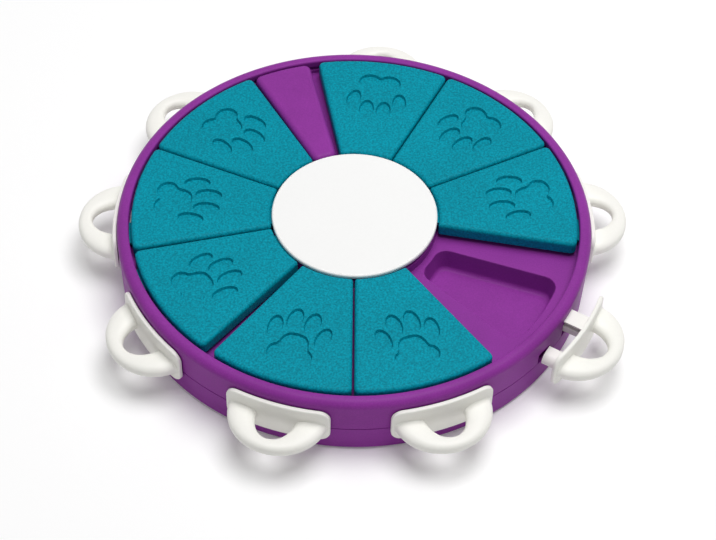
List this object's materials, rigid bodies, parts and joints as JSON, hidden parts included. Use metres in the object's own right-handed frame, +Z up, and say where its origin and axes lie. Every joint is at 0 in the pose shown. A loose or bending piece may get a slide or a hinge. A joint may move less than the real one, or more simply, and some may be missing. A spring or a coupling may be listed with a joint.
{
  "type": "dog puzzle feeder",
  "caption": "Round treat puzzle for a dog: turquoise blocks slide round a white hub over food wells in a purple tray, and white loop handles pull out of its wall.",
  "frame": {"origin": "on the disc's axis, at the level of the flat underside that the toy rests on", "axes": "+Z up along the disc's axis; -Y towards the viewer of the picture; +X to the viewer's right"},
  "size_m": [0.3005, 0.2961, 0.0398],
  "materials": {
    "purple_plastic": "moulded plastic with a soft satin sheen",
    "turquoise_plastic": "moulded plastic with a fine matte texture",
    "white_plastic": "smooth moulded plastic, warm white",
    "screw_steel": "plated steel screws"
  },
  "bodies": {
    "body": {"tray": "purple_plastic", "base_cover": "purple_plastic", "hub_cap": "white_plastic", "base_screw_1": "screw_steel", "base_screw_2": "screw_steel", "base_screw_3": "screw_steel", "base_screw_4": "screw_steel", "base_screw_5": "screw_steel", "hub_screw_1": "screw_steel", "hub_screw_2": "screw_steel", "hub_screw_3": "screw_steel"},
    "block_1": {"sliding_block_1": "turquoise_plastic"},
    "block_2": {"sliding_block_2": "turquoise_plastic"},
    "block_3": {"sliding_block_3": "turquoise_plastic"},
    "block_4": {"sliding_block_4": "turquoise_plastic"},
    "block_5": {"sliding_block_5": "turquoise_plastic"},
    "block_6": {"sliding_block_6": "turquoise_plastic"},
    "block_7": {"sliding_block_7": "turquoise_plastic"},
    "block_8": {"sliding_block_8": "turquoise_plastic"},
    "handle_1": {"pull_handle_1": "white_plastic"},
    "handle_2": {"pull_handle_2": "white_plastic"},
    "handle_3": {"pull_handle_3": "white_plastic"},
    "handle_4": {"pull_handle_4": "white_plastic"},
    "handle_5": {"pull_handle_5": "white_plastic"},
    "handle_6": {"pull_handle_6": "white_plastic"},
    "handle_7": {"pull_handle_7": "white_plastic"},
    "handle_8": {"pull_handle_8": "white_plastic"},
    "handle_9": {"pull_handle_9": "white_plastic"}
  },
  "joints": [
    {"name": "block_1_slide", "type": "hinge", "parent": "body", "child": "block_1", "pos_m": [0, 0, 0.0298], "axis": [0, 0, 1], "range_deg": [0, 43.1]},
    {"name": "block_2_slide", "type": "hinge", "parent": "body", "child": "block_2", "pos_m": [0, 0, 0.0298], "axis": [0, 0, 1], "range_deg": [0, 43.1]},
    {"name": "block_3_slide", "type": "hinge", "parent": "body", "child": "block_3", "pos_m": [0, 0, 0.0298], "axis": [0, 0, 1], "range_deg": [0, 43.1]},
    {"name": "block_4_slide", "type": "hinge", "parent": "body", "child": "block_4", "pos_m": [0, 0, 0.0298], "axis": [0, 0, 1], "range_deg": [0, 43.1]},
    {"name": "block_5_slide", "type": "hinge", "parent": "body", "child": "block_5", "pos_m": [0, 0, 0.0298], "axis": [0, 0, 1], "range_deg": [0, 43.1]},
    {"name": "block_6_slide", "type": "hinge", "parent": "body", "child": "block_6", "pos_m": [0, 0, 0.0298], "axis": [0, 0, 1], "range_deg": [-43.1, 0]},
    {"name": "block_7_slide", "type": "hinge", "parent": "body", "child": "block_7", "pos_m": [0, 0, 0.0298], "axis": [0, 0, 1], "range_deg": [-43.1, 0]},
    {"name": "block_8_slide", "type": "hinge", "parent": "body", "child": "block_8", "pos_m": [0, 0, 0.0298], "axis": [0, 0, 1], "range_deg": [-43.1, 0]},
    {"name": "handle_1_pull", "type": "slide", "parent": "body", "child": "handle_1", "axis": [-0.7576, 0.6528, 0], "range_m": [0, 0.01]},
    {"name": "handle_2_pull", "type": "slide", "parent": "body", "child": "handle_2", "axis": [-0.9989, 0.0462, 0], "range_m": [0, 0.01]},
    {"name": "handle_3_pull", "type": "slide", "parent": "body", "child": "handle_3", "axis": [-0.8146, -0.58, 0], "range_m": [0, 0.01]},
    {"name": "handle_4_pull", "type": "slide", "parent": "body", "child": "handle_4", "axis": [-0.2832, -0.9591, 0], "range_m": [0, 0.01]},
    {"name": "handle_5_pull", "type": "slide", "parent": "body", "child": "handle_5", "axis": [0.3689, -0.9295, 0], "range_m": [0, 0.01]},
    {"name": "handle_6_pull", "type": "slide", "parent": "body", "child": "handle_6", "axis": [0.8638, -0.5038, 0], "range_m": [-0.01, 0]},
    {"name": "handle_7_pull", "type": "slide", "parent": "body", "child": "handle_7", "axis": [0.9906, 0.1366, 0], "range_m": [0, 0.01]},
    {"name": "handle_8_pull", "type": "slide", "parent": "body", "child": "handle_8", "axis": [0.6953, 0.7187, 0], "range_m": [0, 0.01]},
    {"name": "handle_9_pull", "type": "slide", "parent": "body", "child": "handle_9", "axis": [0.1037, 0.9946, 0], "range_m": [0, 0.01]}
  ],
  "couplings": [
    {"joint": "block_2_slide", "follows": "block_1_slide", "ratio": 1},
    {"joint": "block_3_slide", "follows": "block_1_slide", "ratio": 1},
    {"joint": "block_4_slide", "follows": "block_1_slide", "ratio": 1},
    {"joint": "block_5_slide", "follows": "block_1_slide", "ratio": 1},
    {"joint": "block_6_slide", "follows": "block_8_slide", "ratio": 1},
    {"joint": "block_7_slide", "follows": "block_8_slide", "ratio": 1}
  ]
}
